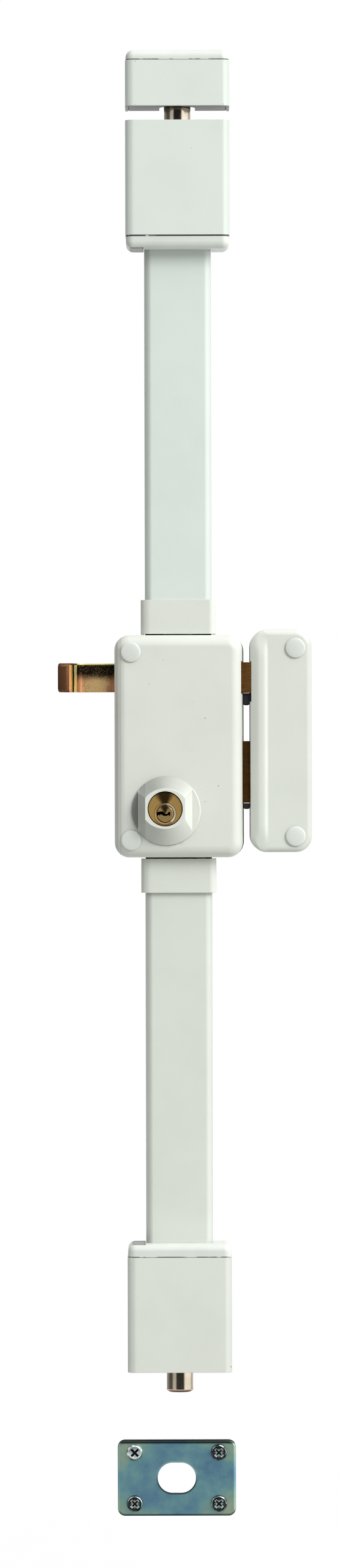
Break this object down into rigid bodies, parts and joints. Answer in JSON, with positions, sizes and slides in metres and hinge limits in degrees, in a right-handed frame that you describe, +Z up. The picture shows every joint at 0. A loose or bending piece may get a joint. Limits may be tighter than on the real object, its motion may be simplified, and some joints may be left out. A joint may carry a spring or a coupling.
{
  "type": "multipoint rim lock",
  "caption": "White surface-mounted multipoint door lock with a pull latch, key cylinder, deadbolt and vertical rods that end in round bolts, with its side, top and floor keeps.",
  "frame": {"origin": "centre of the main case's back face, on the door's surface", "axes": "+Z up along the rods, +X to the side keep, +Y into the door, so the lock stands out towards -Y"},
  "size_m": [0.1702, 0.046, 0.9836],
  "materials": {
    "white_paint": "satin powder coat",
    "white_plastic": "satin moulded",
    "dark_steel": "dark plated",
    "steel": "bright, slightly oiled",
    "nickel": "nickel plated, polished",
    "bichromate": "yellow passivated zinc",
    "brass": "brushed",
    "zinc": "bright zinc",
    "iridescent_zinc": "zinc plated, blue-green iridescent",
    "black_plastic": "moulded"
  },
  "bodies": {
    "lock_frame": {"case_cover": "white_paint", "case_back_plate": "dark_steel", "upper_case_screw": "zinc", "lower_case_screw": "zinc", "upper_case_cap": "white_plastic", "lower_case_cap": "white_plastic", "cylinder_collar": "white_paint", "cylinder_body": "brass", "reduction_arbor": "steel", "pinion_arbor": "steel", "latch_spring": "steel", "spring_post": "steel", "upper_channel": "white_paint", "lower_channel": "white_paint", "upper_sleeve": "white_paint", "lower_sleeve": "white_paint", "upper_bolt_case": "white_paint", "lower_bolt_case": "white_paint", "upper_end_cap": "white_plastic", "lower_end_cap": "white_plastic", "upper_bolt_guide": "dark_steel", "lower_bolt_guide": "dark_steel", "upper_rod_guide": "black_plastic", "lower_rod_guide": "black_plastic", "top_keep_body": "white_paint", "top_keep_cap": "white_plastic", "top_keep_bracket": "white_paint", "side_keep_cover": "white_paint", "side_keep_back_plate": "dark_steel", "upper_keep_cap": "white_plastic", "lower_keep_cap": "white_plastic", "upper_keep_screw": "zinc", "lower_keep_screw": "zinc", "latch_rest_pad": "black_plastic", "deadbolt_rest_pad": "black_plastic", "floor_keep_plate": "iridescent_zinc", "upper_left_floor_screw": "iridescent_zinc", "upper_right_floor_screw": "iridescent_zinc", "lower_left_floor_screw": "iridescent_zinc", "lower_right_floor_screw": "iridescent_zinc"},
    "upper_rod_body": {"upper_rack": "steel", "upper_rod": "steel", "upper_bolt": "nickel", "upper_rack_pin": "steel", "upper_bolt_pin": "steel"},
    "lower_rod_body": {"lower_rack": "steel", "lower_rod": "steel", "lower_bolt": "nickel", "lower_rack_pin": "steel", "lower_bolt_pin": "steel"},
    "deadbolt_body": {"deadbolt": "bichromate"},
    "pinion_body": {"central_pinion": "steel", "drive_gear": "steel"},
    "reduction_body": {"reduction_gear": "steel"},
    "plug_body": {"cylinder_plug": "brass", "plug_gear": "brass"},
    "latch_body": {"latch_bolt": "bichromate", "pull_handle": "bichromate", "latch_pin": "steel"}
  },
  "joints": [
    {"name": "upper_rod_slide", "type": "slide", "parent": "lock_frame", "child": "upper_rod_body", "axis": [0, 0, 1], "range_m": [-0.02199, 0]},
    {"name": "lower_rod_slide", "type": "slide", "parent": "lock_frame", "child": "lower_rod_body", "axis": [0, 0, 1], "range_m": [0, 0.022]},
    {"name": "deadbolt_slide", "type": "slide", "parent": "lock_frame", "child": "deadbolt_body", "axis": [1, 0, 0], "range_m": [-0.022, 0]},
    {"name": "pinion_turn", "type": "hinge", "parent": "lock_frame", "child": "pinion_body", "pos_m": [0, 0, -0.014], "axis": [0, 1, 0], "range_deg": [-120.1, 0]},
    {"name": "reduction_turn", "type": "hinge", "parent": "lock_frame", "child": "reduction_body", "pos_m": [-0.01431, 0, -0.02797], "axis": [0, 1, 0], "range_deg": [0, 360.1]},
    {"name": "plug_turn", "type": "hinge", "parent": "lock_frame", "child": "plug_body", "pos_m": [-0.00908, 0, -0.04519], "axis": [0, 1, 0], "range_deg": [-720.2, 0]},
    {"name": "latch_slide", "type": "slide", "parent": "lock_frame", "child": "latch_body", "axis": [1, 0, 0], "range_m": [-0.016, 0], "stiffness_N_per_m": 600, "springref_m": 0.01, "deforming": ["latch_spring"]}
  ],
  "couplings": [
    {"joint": "lower_rod_slide", "follows": "upper_rod_slide", "ratio": -1},
    {"joint": "deadbolt_slide", "follows": "upper_rod_slide", "ratio": 1},
    {"joint": "pinion_turn", "follows": "upper_rod_slide", "rad_per_m": 95.238},
    {"joint": "reduction_turn", "follows": "upper_rod_slide", "rad_per_m": -285.71},
    {"joint": "plug_turn", "follows": "upper_rod_slide", "rad_per_m": 571.43}
  ]
}
